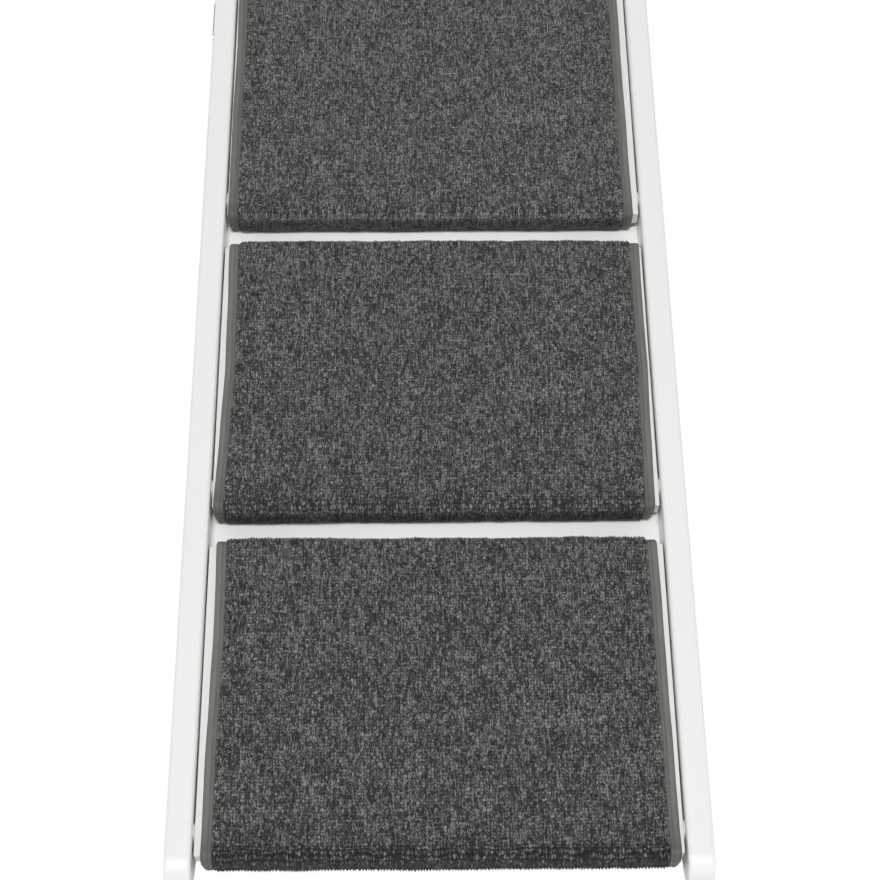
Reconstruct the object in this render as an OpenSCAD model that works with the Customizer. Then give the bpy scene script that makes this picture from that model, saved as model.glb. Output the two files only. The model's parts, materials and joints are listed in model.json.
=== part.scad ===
// Dog ramp whose three carpeted treads tilt level to make steps.
//
// The rails, the treads and their hardware are drawn in a frame of the ramp's own:
// X across the ramp, Y up the slope from the bottom tread's pivot, and Z square to
// the slope from the rails' centre line. on_ramp() stands that frame on the floor.

/* [Ramp] */
// Width over both rails
overall_w = 410; // [380:1:460]
// Slope of the rails above the floor, in degrees
slope = 28; // [25:0.5:31]
// Distance from one tread's pivot to the next
tread_pitch = 290; // [286:1:310]
// Length of rail from the top tread's pivot to the middle of the rounded high end
rail_beyond = 354; // [350:1:380]

/* [Rails] */
// Thickness of a rail
rail_t = 20; // [18:0.5:24]
// Depth of a rail
rail_h = 76; // [74:1:84]
// Radius of the rails' rounded top corners
toe_r = 20; // [16:1:22]
// Distance from the bottom tread's pivot down to the middle of the low end's round
toe_in = 23.6; // [22:0.2:26]
// Height of that middle above the level cut under the rail
toe_h = 12; // [11:0.5:14]
// Distance from the middle of the high end's round to the upright cut
head_cut = 9; // [7:0.2:9.2]
// Rounding of the rails' edges
rail_round = 3; // [1.5:0.5:4]

/* [Treads] */
// Length of a tread's board up the slope
tread_len = 255; // [250:1:262]
// Thickness of a tread's board
tread_t = 15; // [14:0.5:17]
// Rounding of the boards' edges
board_round = 2; // [1:0.5:3]
// Gap between a tread and each rail
side_gap = 3; // [2.8:0.1:4]
// Depth of a tread's surface below the rails' top edge
tread_drop = 9; // [8:0.5:11]
// Distance from a tread's lower end to its pivot
pivot_in = 20; // [18:0.5:24]

/* [Carpet] */
// Thickness of the carpet mat
mat_t = 6; // [4:0.5:7]
// Bare board beside each mat
mat_margin = 3.5; // [2:0.5:6]
// Width of the binding tape along a mat's edges
binding_w = 8; // [6:0.5:12]
// Thickness of the bound edge
binding_t = 4; // [3:0.5:5]
// Length of the mat's tails under the board
tail_len = 15; // [12:1:18]
// Thickness of the tails, pressed flat
tail_t = 4.5; // [3:0.5:5]
// Thickness of the hook tape that holds the tails
tape_t = 1; // [0.6:0.1:1.5]

/* [Crossbars] */
// Width of a crossbar up the slope
bar_w = 40; // [34:1:44]
// Thickness of a crossbar
bar_t = 20; // [16:1:24]
// Depth of a crossbar's top below the rails' top edge
bar_drop = 32; // [31:0.5:35]
// Gap from a tread's upper end to the crossbar above it
bar_gap = 9; // [8:0.5:10]
// Rounding of the edges of the crossbars and legs
bar_round = 3; // [1:0.5:5]

/* [Tread hardware] */
// Thickness of the steel plates on the treads' edges
plate_t = 2; // [1.5:0.1:2.3]
// Depth of a pivot plate
plate_h = 13; // [12:0.5:14]
// Reach of a pivot plate up the slope from the pivot
plate_reach = 62; // [56:1:70]
// Diameter of the pivot bolts
bolt_d = 6; // [5:0.5:8]
// Depth of the pivot bolts in the boards
bolt_grip = 42; // [30:1:60]
// Diameter of the nylon washers
washer_d = 15; // [13:0.5:18]
// Play left between a washer and its pivot plate
washer_play = 0.1; // [0.05:0.05:0.2]
// Diameter of the stop pegs that hold the treads level
peg_d = 8; // [6:0.5:9]
// Length of the plates at the treads' upper ends
guide_len = 40; // [36:1:44]
// Distance from a tread's upper end to the middle of its lock bolt
lock_in = 25.5; // [25:0.5:28]
// Diameter of the lock bolts
lock_d = 6; // [5:0.5:7]
// Travel of the lock bolts
lock_travel = 12; // [8:0.5:14]
// Length of a lock bolt's barrel
barrel_len = 44; // [40:1:60]
// Wall of the lock bolts' barrels
barrel_wall = 2.5; // [2:0.25:3]

/* [Legs] */
// Width of a leg
leg_w = 40; // [36:1:44]
// Lean of the opened legs away from the ramp, in degrees
leg_lean = 12; // [8:0.5:14]
// Distance up the slope from the top tread's pivot to the leg hinge
hinge_run = 220; // [205:1:235]
// Clearance between a folded leg and the rail above it
fold_gap = 2; // [1.5:0.5:4]
// Distance from the leg hinge to the middle of the legs' crossbar
leg_bar_run = 200; // [180:1:215]
// Thickness of the leg hinge plates
hinge_t = 4; // [3:0.5:5]
// Width of the leg hinge plates
hinge_w = 46; // [40:1:52]
// Diameter of the leg hinge bolts
hinge_bolt_d = 8; // [6:0.5:10]

/* [Feet] */
// Thickness of the rubber pads
pad_t = 3; // [2:0.5:4]
// Distance from a foot's end to its pad
pad_in = 3; // [2:0.5:5]

/* [Fits] */
// Radial clearance of a shaft in its hole
fit = 0.05; // [0.02:0.01:0.08]
// Clearance between faces that slide past each other
slip = 0.3; // [0.2:0.05:0.5]

/* [Hidden] */
$fn = 48;

BOTTOM = 0;
MIDDLE = 1;
TOP = 2;

white = "#e8e8e5";
steel = "#a9abad";
dark_steel = "#6f7276";
nylon = "#e6dfc8";
carpet = "#4c4c4d";
tape_grey = "#777972";
hook_black = "#202022";
rubber = "#1d1d1e";

rail_r = rail_h / 2;
rail_in = overall_w / 2 - rail_t;
rail_out = overall_w / 2;
rail_mid = overall_w / 2 - rail_t / 2;
rail_run = 2 * tread_pitch + rail_beyond;

// Middles of the rails' rounded corners, and the height at which the rails stand.
toe_z = rail_r - toe_r;
lift = pad_t + toe_h + toe_in * sin(slope) - toe_z * cos(slope);
toe_y = -toe_in * cos(slope) - toe_z * sin(slope);
head_y = rail_run * cos(slope) - toe_z * sin(slope);
head_z = rail_run * sin(slope) + toe_z * cos(slope) + lift;
head_reach = head_y + head_cut + pad_t;
centre_y = (head_reach + toe_y - toe_r) / 2;

// Both ends of the level cut, and of the upright one.
foot_front = toe_y - sqrt(toe_r * toe_r - toe_h * toe_h);
foot_heel = (pad_t - lift + rail_r * cos(slope)) / tan(slope) + rail_r * sin(slope);
face_low = (head_y + head_cut - rail_r * sin(slope)) * tan(slope) - rail_r * cos(slope) + lift;
face_high = head_z + sqrt(toe_r * toe_r - head_cut * head_cut);

bar_z = rail_r - bar_drop - bar_t / 2;
bar_screw_len = 55;
bar_head_r = 5;
bar_head_t = 4;
screw_big_r = 2.4;

tread_x = rail_in - side_gap;
pivot_z = rail_r - tread_drop - tread_t / 2;
end_y = tread_len - pivot_in;
mat_x = tread_x - mat_margin;
pile_x = mat_x - binding_w;

plate_x = tread_x + plate_t;
plate_low = -pivot_in + 2;
plate_round = 3;
plate_screw_in = 5;
washer_t = rail_in - plate_x - washer_play;
bolt_head_r = 6;
bolt_head_t = 3.6;
bolt_key_r = 2.3;
screw_r = 1.9;
screw_head_r = 3.6;
screw_head_t = 1.2;
screw_len = 20;

// A stop peg meets the pivot plate's lower edge once the tread lies level.
peg_run = plate_reach - peg_d / 2;
peg_below = plate_h / 2 + peg_d / 2;
peg_y = peg_run * cos(slope) - peg_below * sin(slope);
peg_z = pivot_z - peg_run * sin(slope) - peg_below * cos(slope);
peg_grip = 12;

lock_y = end_y - lock_in;
barrel_r = lock_d / 2 + barrel_wall;
lock_dz = -tread_t / 2 - plate_t - barrel_r;
barrel_end = tread_x - slip;
barrel_start = barrel_end - barrel_len;
barrel_tab = 10;
barrel_screw_len = 12;
base_z = -tread_t / 2 - plate_t;
bolt_tail = 4;
handle_x = barrel_end - barrel_len / 2 - lock_travel / 2;
handle_r = 1.8;
handle_len = 12;
knob_r = 4.5;
guide_mid = end_y - 3 - guide_len / 2;
guide_lip = 4;

hinge_y = 2 * tread_pitch + hinge_run;
hinge_z = -rail_r - fold_gap - leg_w / 2;
hinge_top = 10 - hinge_z;
hinge_round = 5;
hinge_screw_len = 16;
hinge_head_t = 2;
leg_t = rail_t - 2 * slip;
leg_x = rail_mid - leg_t / 2;
leg_bar_y = leg_w / 2 - 2 - bar_t / 2;
leg_turn = slope - leg_lean;
hinge_floor_y = hinge_y * cos(slope) - hinge_z * sin(slope);
hinge_floor_z = hinge_y * sin(slope) + hinge_z * cos(slope) + lift;
leg_len = hinge_floor_z / cos(leg_lean);
nut_r = 7.5;
nut_t = 5;

// Places the ramp's frame on the floor, with the whole ramp's middle at Y = 0.
module on_ramp() {
    translate([0, -centre_y, lift]) rotate([slope, 0, 0]) children();
}

// Places a leg's frame: the hinge at the origin, -Z down the leg.
module on_leg() {
    translate([0, hinge_floor_y - centre_y, hinge_floor_z]) rotate([leg_lean, 0, 0]) children();
}

// Places a tread's frame, with its pivot along X.
module on_tread(place) {
    on_ramp() translate([0, place * tread_pitch, pivot_z]) children();
}

module both_sides() {
    children();
    mirror([1, 0, 0]) children();
}

// Extrudes an outline drawn in Y and Z from x0 to x1.
module slab(x0, x1) {
    translate([x0, 0, 0]) rotate([90, 0, 90]) linear_extrude(x1 - x0) children();
}

// A round bar along X from x0 to x1.
module rod(x0, x1, r, y = 0, z = 0) {
    translate([x0, y, z]) rotate([0, 90, 0]) cylinder(h = x1 - x0, r = r);
}

module rounded_rect(w, h, r) {
    for (sx = [-1, 1], sy = [-1, 1])
        translate([sx * (w / 2 - r), sy * (h / 2 - r)]) circle(r);
    square([w - 2 * r, h], center = true);
    square([w, h - 2 * r], center = true);
}

// ---- Rails ----

// A rounded top corner: half a disc with rounded edges.
module rail_corner() {
    translate([0, 0, toe_z]) rotate([0, 90, 0]) rotate_extrude(angle = 180, $fn = 96)
        intersection() {
            rounded_rect(2 * toe_r, rail_t, rail_round);
            translate([0, -rail_t]) square([toe_r, 2 * rail_t]);
        }
}

module rail_blank() {
    translate([rail_mid, -toe_in, 0]) {
        rotate([-90, 0, 0]) linear_extrude(rail_run + toe_in)
            rounded_rect(rail_t, rail_h, rail_round);
        mirror([0, 1, 0]) rail_corner();
    }
    translate([rail_mid, rail_run, 0]) rail_corner();
}

// What is cut off a rail's ends: level at the foot, upright at the head.
module rail_cuts() {
    cut = 2 * rail_h;
    translate([rail_in - 1, -toe_in, toe_z]) rotate([-slope, 0, 0])
        translate([0, -cut, -toe_h - cut]) cube([rail_t + 2, 2 * cut, cut]);
    translate([rail_in - 1, rail_run, toe_z]) rotate([-slope, 0, 0])
        translate([0, head_cut, -cut]) cube([rail_t + 2, cut, 2 * cut]);
}

// Middles of a crossbar's two screws, from the crossbar's middle.
function bar_screws() = [-bar_w / 4, bar_w / 4];
function bar_y(place) = place * tread_pitch + end_y + bar_gap + bar_w / 2;

// Screw middles of a hinge plate, from the leg hinge.
function hinge_holes() = [
    [-hinge_w / 4, -hinge_z - hinge_w / 2],
    [hinge_w / 4, -hinge_z - hinge_w / 2],
    [0, -hinge_z],
];

module rail_holes() {
    for (place = [BOTTOM, MIDDLE, TOP]) {
        y = place * tread_pitch;
        rod(rail_in - 1, rail_out + 1, bolt_d / 2 + fit, y, pivot_z);
        rod(rail_out - bolt_head_t - slip, rail_out + 1, bolt_head_r + slip, y, pivot_z);
        rod(rail_in - 1, rail_in + peg_grip, peg_d / 2, y + peg_y, peg_z);
        rod(rail_in - 1, rail_in + lock_travel + 1, lock_d / 2 + slip,
            y + lock_y, pivot_z + lock_dz);
        for (s = bar_screws()) {
            rod(rail_in - 1, rail_out + 1, screw_big_r, bar_y(place) + s, bar_z);
            rod(rail_out - bar_head_t, rail_out + 1, bar_head_r, bar_y(place) + s, bar_z);
        }
    }
    for (h = hinge_holes())
        rod(rail_out - hinge_screw_len, rail_out + 1, screw_big_r, hinge_y + h[0], hinge_z + h[1]);
}

module rail() {
    color(white) on_ramp() difference() {
        rail_blank();
        rail_cuts();
        rail_holes();
    }
}

module rail_right() { rail(); }
module rail_left() { mirror([1, 0, 0]) rail(); }

// ---- Crossbars ----

module crossbar(place) {
    color(white) on_ramp() difference() {
        translate([0, bar_y(place), bar_z])
            slab(-rail_in, rail_in) rounded_rect(bar_w, bar_t, bar_round);
        both_sides() for (s = bar_screws())
            rod(rail_out - bar_screw_len, rail_in + 1, screw_big_r, bar_y(place) + s, bar_z);
    }
}

module crossbar_lower() { crossbar(BOTTOM); }
module crossbar_middle() { crossbar(MIDDLE); }
module crossbar_top() { crossbar(TOP); }

// A countersunk wood screw along X, its head's face at x1.
module flush_screw(x1, len, r, head_r, head_t) {
    rod(x1 - len, x1 - head_t, r);
    translate([x1 - head_t, 0, 0]) rotate([0, 90, 0]) difference() {
        cylinder(h = head_t, r = head_r);
        translate([0, 0, head_t / 2]) cylinder(h = head_t, r = head_r / 3, $fn = 6);
    }
}

module crossbar_screws() {
    color(steel) on_ramp() both_sides() for (place = [BOTTOM, MIDDLE, TOP], s = bar_screws())
        translate([0, bar_y(place) + s, bar_z])
            flush_screw(rail_out, bar_screw_len, screw_big_r, bar_head_r, bar_head_t);
}

// ---- Treads ----

// A board's outline in Y and Z about the pivot.
module board_outline() {
    translate([end_y - tread_len / 2, 0]) rounded_rect(tread_len, tread_t, board_round);
}

function plate_screw_ys() = [
    plate_low + plate_screw_in,
    (plate_reach - plate_screw_in) / 2,
    plate_reach - plate_screw_in,
];
function guide_screw_ys() = [
    guide_mid - guide_len / 2 + plate_screw_in,
    guide_mid + guide_len / 2 - plate_screw_in,
];

// Turns X to point down, at each of a barrel's two screws.
module barrel_screws() {
    for (x = [barrel_start - barrel_tab / 2, barrel_end - barrel_tab / 2])
        translate([x, lock_y, 0]) rotate([0, 90, 0]) children();
}

module tread(place) {
    color(white) on_tread(place) difference() {
        slab(-tread_x, tread_x) board_outline();
        both_sides() {
            rod(tread_x - bolt_grip, tread_x + 1, bolt_d / 2);
            for (y = concat(plate_screw_ys(), guide_screw_ys()))
                rod(plate_x - screw_len, tread_x + 1, screw_r, y);
            barrel_screws() rod(-base_z - barrel_screw_len, -base_z, screw_r);
        }
    }
}

module tread_bottom() { tread(BOTTOM); }
module tread_middle() { tread(MIDDLE); }
module tread_top() { tread(TOP); }

// ---- Carpet ----

// A sheet of thickness t wrapped over a board's top and both ends, with its
// tails pressed up under the board.
module wrap_outline(t) {
    r = t + board_round;
    low = -tread_t / 2 - tape_t - tail_t;
    foot_r = min(t, tail_t) - 0.5;
    mid = end_y - tread_len / 2;
    difference() {
        translate([mid, 0]) {
            for (s = [-1, 1]) {
                translate([s * (tread_len / 2 - board_round), tread_t / 2 - board_round]) circle(r);
                translate([s * (tread_len / 2 + t - foot_r), low + foot_r]) circle(foot_r);
            }
            translate([-tread_len / 2 + board_round, 0])
                square([tread_len - 2 * board_round, tread_t / 2 + t]);
            translate([-tread_len / 2 - t, low + foot_r])
                square([tread_len + 2 * t, tread_t / 2 - board_round - low - foot_r]);
            translate([-tread_len / 2 - t + foot_r, low])
                square([tread_len + 2 * t - 2 * foot_r, foot_r + 1]);
        }
        board_outline();
        translate([mid, -tread_t / 2 - tape_t / 2 - 0.5])
            square([tread_len - 2 * board_round, tape_t + 1], center = true);
        translate([-pivot_in, -tread_t / 2 - tape_t]) square([tread_len, tape_t + board_round]);
        translate([-pivot_in + tail_len, low - 1]) square([tread_len - 2 * tail_len, tread_t / 2 - low]);
    }
}

module mat(place) {
    color(carpet) on_tread(place) slab(-pile_x, pile_x) wrap_outline(mat_t);
}

module mat_bottom() { mat(BOTTOM); }
module mat_middle() { mat(MIDDLE); }
module mat_top() { mat(TOP); }

module binding(place) {
    color(tape_grey) on_tread(place) both_sides() slab(pile_x, mat_x) wrap_outline(binding_t);
}

module binding_bottom() { binding(BOTTOM); }
module binding_middle() { binding(MIDDLE); }
module binding_top() { binding(TOP); }

// Hook tape stuck under both ends of a board.
module hook_tape(place) {
    tape_w = tail_len - board_round;
    color(hook_black) on_tread(place) for (y = [-pivot_in + board_round, end_y - tail_len])
        translate([-mat_x, y, -tread_t / 2 - tape_t]) cube([2 * mat_x, tape_w, tape_t]);
}

module hook_tape_bottom() { hook_tape(BOTTOM); }
module hook_tape_middle() { hook_tape(MIDDLE); }
module hook_tape_top() { hook_tape(TOP); }

// ---- Tread hardware ----

module screw_holes(ys) {
    for (y = ys) {
        rod(tread_x - 1, plate_x + 1, screw_r, y);
        rod(plate_x - screw_head_t, plate_x + 1, screw_head_r, y);
    }
}

module pivot_plates(place) {
    color(dark_steel) on_tread(place) both_sides() difference() {
        slab(tread_x, plate_x) translate([(plate_reach + plate_low) / 2, 0])
            rounded_rect(plate_reach - plate_low, plate_h, plate_round);
        rod(tread_x - 1, plate_x + 1, bolt_d / 2 + fit);
        screw_holes(plate_screw_ys());
    }
}

module pivot_plates_bottom() { pivot_plates(BOTTOM); }
module pivot_plates_middle() { pivot_plates(MIDDLE); }
module pivot_plates_top() { pivot_plates(TOP); }

module pivot_bolts(place) {
    color(steel) on_tread(place) both_sides() {
        rod(tread_x - bolt_grip, rail_out - bolt_head_t, bolt_d / 2);
        translate([rail_out - bolt_head_t, 0, 0]) rotate([0, 90, 0]) difference() {
            cylinder(h = bolt_head_t - slip, r = bolt_head_r);
            translate([0, 0, bolt_head_t / 2]) cylinder(h = bolt_head_t, r = bolt_key_r, $fn = 6);
        }
    }
}

module pivot_bolts_bottom() { pivot_bolts(BOTTOM); }
module pivot_bolts_middle() { pivot_bolts(MIDDLE); }
module pivot_bolts_top() { pivot_bolts(TOP); }

// Plates that guide the lock bolts past the boards' edges, near their upper ends.
module guide_plates(place) {
    low = lock_dz - lock_d / 2 - guide_lip;
    high = plate_h / 2;
    color(dark_steel) on_tread(place) both_sides() difference() {
        slab(tread_x, plate_x) translate([guide_mid, (low + high) / 2])
            rounded_rect(guide_len, high - low, plate_round);
        rod(tread_x - 1, plate_x + 1, lock_d / 2 + fit, lock_y, lock_dz);
        screw_holes(guide_screw_ys());
    }
}

module guide_plates_bottom() { guide_plates(BOTTOM); }
module guide_plates_middle() { guide_plates(MIDDLE); }
module guide_plates_top() { guide_plates(TOP); }

module plate_screws(place) {
    color(steel) on_tread(place) both_sides() {
        for (y = concat(plate_screw_ys(), guide_screw_ys()))
            translate([0, y, 0]) flush_screw(plate_x, screw_len, screw_r, screw_head_r, screw_head_t);
        barrel_screws()
            flush_screw(-base_z, barrel_screw_len, screw_r, screw_head_r, screw_head_t);
    }
}

module plate_screws_bottom() { plate_screws(BOTTOM); }
module plate_screws_middle() { plate_screws(MIDDLE); }
module plate_screws_top() { plate_screws(TOP); }

// Barrels under the boards, each a slotted tube on a plate with two screws.
module lock_barrels(place) {
    base_w = 2 * barrel_r;
    tube_len = barrel_len - barrel_tab;
    slot_w = 2 * handle_r + 1;
    color(steel) on_tread(place) both_sides() difference() {
        translate([barrel_start, lock_y, 0]) {
            rod(0, tube_len, barrel_r, 0, lock_dz);
            translate([0, -base_w / 2, lock_dz]) cube([tube_len, base_w, barrel_r]);
            translate([-barrel_tab, -base_w / 2, base_z])
                cube([barrel_len + barrel_tab, base_w, plate_t]);
        }
        rod(barrel_start - 1, barrel_end + 1, lock_d / 2 + fit, lock_y, lock_dz);
        translate([handle_x - slot_w / 2, lock_y - barrel_r - 1, lock_dz - slot_w / 2])
            cube([slot_w + lock_travel, barrel_r + 1, slot_w]);
        barrel_screws() {
            rod(0, -base_z, screw_r);
            rod(-base_z - screw_head_t, -base_z + 1, screw_head_r);
        }
    }
}

module lock_barrels_bottom() { lock_barrels(BOTTOM); }
module lock_barrels_middle() { lock_barrels(MIDDLE); }
module lock_barrels_top() { lock_barrels(TOP); }

// A lock bolt drawn back, its tip level with the guide plate's face and its
// handle pointing down the ramp.
module lock_bolt(place) {
    color(dark_steel) on_tread(place) translate([0, lock_y, lock_dz]) {
        rod(barrel_start - bolt_tail, plate_x - 1, lock_d / 2);
        translate([plate_x - 1, 0, 0]) rotate([0, 90, 0])
            cylinder(h = 1, r1 = lock_d / 2, r2 = lock_d / 2 - 1);
        translate([handle_x, 0, 0]) rotate([90, 0, 0]) cylinder(h = handle_len, r = handle_r);
        translate([handle_x, -handle_len - knob_r / 2, 0]) sphere(r = knob_r, $fn = 32);
    }
}

module lock_bolt_right_bottom() { lock_bolt(BOTTOM); }
module lock_bolt_right_middle() { lock_bolt(MIDDLE); }
module lock_bolt_right_top() { lock_bolt(TOP); }
module lock_bolt_left_bottom() { mirror([1, 0, 0]) lock_bolt(BOTTOM); }
module lock_bolt_left_middle() { mirror([1, 0, 0]) lock_bolt(MIDDLE); }
module lock_bolt_left_top() { mirror([1, 0, 0]) lock_bolt(TOP); }

module pivot_washers() {
    color(nylon) for (place = [BOTTOM, MIDDLE, TOP]) on_tread(place) both_sides() difference() {
        rod(rail_in - washer_t, rail_in, washer_d / 2);
        rod(rail_in - washer_t - 1, rail_in + 1, bolt_d / 2 + fit);
    }
}

module stop_pegs() {
    color(steel) for (place = [BOTTOM, MIDDLE, TOP]) on_ramp() both_sides()
        rod(tread_x + slip, rail_in + peg_grip, peg_d / 2, place * tread_pitch + peg_y, peg_z);
}

// ---- Legs ----

// A leg's outline: a round shoulder on the ramp's side of the hinge, and on
// the far side a corner that stops against the rail when the leg is open.
module leg_outline() {
    r = leg_w / 2;
    stop = r + fold_gap - slip;
    // Height of the stop face above the hinge, at a distance y from the leg's middle
    function face(y) = (stop + y * sin(leg_turn)) / cos(leg_turn);
    circle(r, $fn = 96);
    translate([-r, -leg_len - leg_w]) square([leg_w, leg_len + leg_w]);
    polygon([[0, 0], [r, 0], [r, face(r)], [0, face(0)]]);
}

function leg_screw_zs() = [-leg_bar_run - bar_w / 4, -leg_bar_run + bar_w / 4];

// A leg's bar, its long edges rounded.
module leg_blank() {
    intersection() {
        slab(leg_x, leg_x + leg_t) leg_outline();
        translate([rail_mid, 0, -leg_len - leg_w]) linear_extrude(leg_len + 2 * leg_w)
            rounded_rect(leg_t, leg_w, bar_round);
    }
}

module leg() {
    nut_seat = rail_in + slip + nut_t + slip;
    color(white) difference() {
        on_leg() difference() {
            leg_blank();
            rod(rail_in - 1, rail_out + 1, hinge_bolt_d / 2 + fit);
            rod(rail_in - 1, nut_seat, nut_r + slip);
            for (z = leg_screw_zs()) {
                rod(rail_in - 1, rail_out + 1, screw_big_r, leg_bar_y, z);
                rod(leg_x + leg_t - bar_head_t, rail_out + 1, bar_head_r, leg_bar_y, z);
            }
        }
        translate([0, 0, pad_t - leg_len])
            cube([2 * overall_w, 4 * rail_run, 2 * leg_len], center = true);
    }
}

module leg_right() { leg(); }
module leg_left() { mirror([1, 0, 0]) leg(); }

module leg_crossbar() {
    color(white) on_leg() difference() {
        translate([0, leg_bar_y, -leg_bar_run])
            slab(-leg_x, leg_x) rounded_rect(bar_t, bar_w, bar_round);
        both_sides() for (z = leg_screw_zs())
            rod(leg_x + leg_t - bar_screw_len, leg_x + 1, screw_big_r, leg_bar_y, z);
    }
}

module leg_screws() {
    color(steel) on_leg() both_sides() for (z = leg_screw_zs())
        translate([0, leg_bar_y, z])
            flush_screw(leg_x + leg_t, bar_screw_len, screw_big_r, bar_head_r, bar_head_t);
}

// Plates screwed to the rails' outer faces, which carry the legs below them.
module hinge_plates() {
    color(steel) on_ramp() both_sides() translate([0, hinge_y, hinge_z]) difference() {
        slab(rail_out, rail_out + hinge_t) {
            translate([0, hinge_top / 2]) rounded_rect(hinge_w, hinge_top, hinge_round);
            translate([-hinge_w / 2, 0]) square([hinge_w, hinge_top / 2]);
            circle(hinge_w / 2);
        }
        rod(rail_out - 1, rail_out + hinge_t + 1, hinge_bolt_d / 2);
        for (h = hinge_holes()) {
            rod(rail_out - 1, rail_out + hinge_t + 1, screw_big_r, h[0], h[1]);
            rod(rail_out + hinge_t - hinge_head_t, rail_out + hinge_t + 1, bar_head_r, h[0], h[1]);
        }
    }
}

module hinge_screws() {
    color(steel) on_ramp() both_sides() for (h = hinge_holes())
        translate([0, hinge_y + h[0], hinge_z + h[1]])
            flush_screw(rail_out + hinge_t, hinge_screw_len + hinge_t, screw_big_r, bar_head_r, hinge_head_t);
}

module hinge_bolts() {
    head_r = hinge_bolt_d / 2 + 3.5;
    head_t = hinge_bolt_d / 2;
    dome_r = 2 * head_r - 1;
    color(steel) on_ramp() both_sides() translate([0, hinge_y, hinge_z]) {
        rod(rail_in + slip, rail_out + hinge_t, hinge_bolt_d / 2);
        translate([rail_out + hinge_t, 0, 0]) rotate([0, 90, 0]) difference() {
            rotate_extrude() intersection() {
                translate([0, head_t - dome_r]) circle(r = dome_r, $fn = 96);
                square([head_r, head_t]);
            }
            translate([0, 0, head_t / 3]) cylinder(h = head_t, r = head_t * 0.7, $fn = 6);
        }
    }
}

module hinge_nuts() {
    color(steel) on_ramp() both_sides() translate([0, hinge_y, hinge_z]) difference() {
        rod(rail_in + slip, rail_in + slip + nut_t, nut_r);
        rod(rail_in, rail_in + slip + nut_t + 1, hinge_bolt_d / 2);
    }
}

// ---- Rubber pads ----

// A pad of the length that a flat of length flat_len leaves room for.
module pad(flat_len) {
    inset = 1;
    corner = 4;
    translate([rail_mid, 0, 0]) linear_extrude(pad_t)
        rounded_rect(rail_t - 2 * inset, flat_len - 2 * pad_in, corner);
}

module floor_pads() {
    color(rubber) both_sides() translate([0, (foot_front + foot_heel) / 2 - centre_y, 0])
        pad(foot_heel - foot_front);
}

module end_pads() {
    color(rubber) both_sides()
        translate([0, head_reach - centre_y, (face_low + face_high) / 2]) rotate([90, 0, 0])
            pad(face_high - face_low);
}

module leg_pads() {
    foot_y = hinge_floor_y - centre_y + hinge_floor_z * tan(leg_lean);
    color(rubber) both_sides() translate([0, foot_y, 0]) pad(leg_w / cos(leg_lean));
}

rail_left();
rail_right();
crossbar_lower();
crossbar_middle();
crossbar_top();
crossbar_screws();
tread_bottom();
tread_middle();
tread_top();
mat_bottom();
mat_middle();
mat_top();
binding_bottom();
binding_middle();
binding_top();
hook_tape_bottom();
hook_tape_middle();
hook_tape_top();
pivot_plates_bottom();
pivot_plates_middle();
pivot_plates_top();
pivot_bolts_bottom();
pivot_bolts_middle();
pivot_bolts_top();
guide_plates_bottom();
guide_plates_middle();
guide_plates_top();
plate_screws_bottom();
plate_screws_middle();
plate_screws_top();
lock_barrels_bottom();
lock_barrels_middle();
lock_barrels_top();
lock_bolt_left_bottom();
lock_bolt_left_middle();
lock_bolt_left_top();
lock_bolt_right_bottom();
lock_bolt_right_middle();
lock_bolt_right_top();
pivot_washers();
stop_pegs();
leg_left();
leg_right();
leg_crossbar();
leg_screws();
hinge_plates();
hinge_screws();
hinge_bolts();
hinge_nuts();
floor_pads();
end_pads();
leg_pads();
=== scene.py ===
"""A dog ramp with carpeted, tilting treads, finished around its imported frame."""

import json
import math
from typing import NamedTuple

import bmesh
import bpy
import numpy as np
from bpy.props import FloatProperty, FloatVectorProperty, IntProperty, PointerProperty
from mathutils import Matrix, Vector


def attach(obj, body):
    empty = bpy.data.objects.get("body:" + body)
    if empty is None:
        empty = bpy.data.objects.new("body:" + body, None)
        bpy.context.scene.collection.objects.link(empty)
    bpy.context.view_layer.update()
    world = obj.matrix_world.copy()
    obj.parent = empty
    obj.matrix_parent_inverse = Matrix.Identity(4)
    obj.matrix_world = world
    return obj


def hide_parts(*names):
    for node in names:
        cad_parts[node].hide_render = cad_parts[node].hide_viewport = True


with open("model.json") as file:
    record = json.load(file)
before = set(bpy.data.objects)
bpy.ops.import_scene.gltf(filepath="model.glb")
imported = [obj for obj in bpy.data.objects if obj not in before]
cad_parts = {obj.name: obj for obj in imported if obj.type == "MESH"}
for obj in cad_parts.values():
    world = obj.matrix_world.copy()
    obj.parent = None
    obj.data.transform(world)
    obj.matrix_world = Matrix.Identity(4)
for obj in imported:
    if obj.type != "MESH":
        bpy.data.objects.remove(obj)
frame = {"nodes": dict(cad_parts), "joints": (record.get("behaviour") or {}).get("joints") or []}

bl_info = {
    "name": "Dog Ramp",
    "version": (1, 0, 0),
    "blender": (4, 5, 0),
    "location": "3D View > Sidebar > Dog Ramp",
    "description": "Carpets, paint and hardware finishes for a folding dog ramp",
    "category": "Object",
}

MM = 0.001
PLACES = ("bottom", "middle", "top")
SIDES = {"left": -1, "right": 1}
JOINTS = {joint["name"]: joint for joint in frame["joints"]}


# ---- Sizes and colours ----


def length(name, description, default):
    """A size in metres, given here in millimetres."""
    return FloatProperty(
        name=name, description=description, default=default * MM, unit="LENGTH", precision=5
    )


def share(name, description, default):
    """A number from 0 to 1."""
    return FloatProperty(
        name=name, description=description, default=default, min=0, max=1, subtype="FACTOR"
    )


def strength(name, description, default):
    """The strength or power of a light."""
    return FloatProperty(name=name, description=description, default=default, min=0)


def angle(name, description, default):
    """An angle in radians, given here in degrees."""
    return FloatProperty(
        name=name, description=description, default=math.radians(default), subtype="ANGLE"
    )


def spot(name, description, default):
    """A place or an offset in metres."""
    return FloatVectorProperty(
        name=name, description=description, default=default, subtype="XYZ", unit="LENGTH", precision=5
    )


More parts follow.
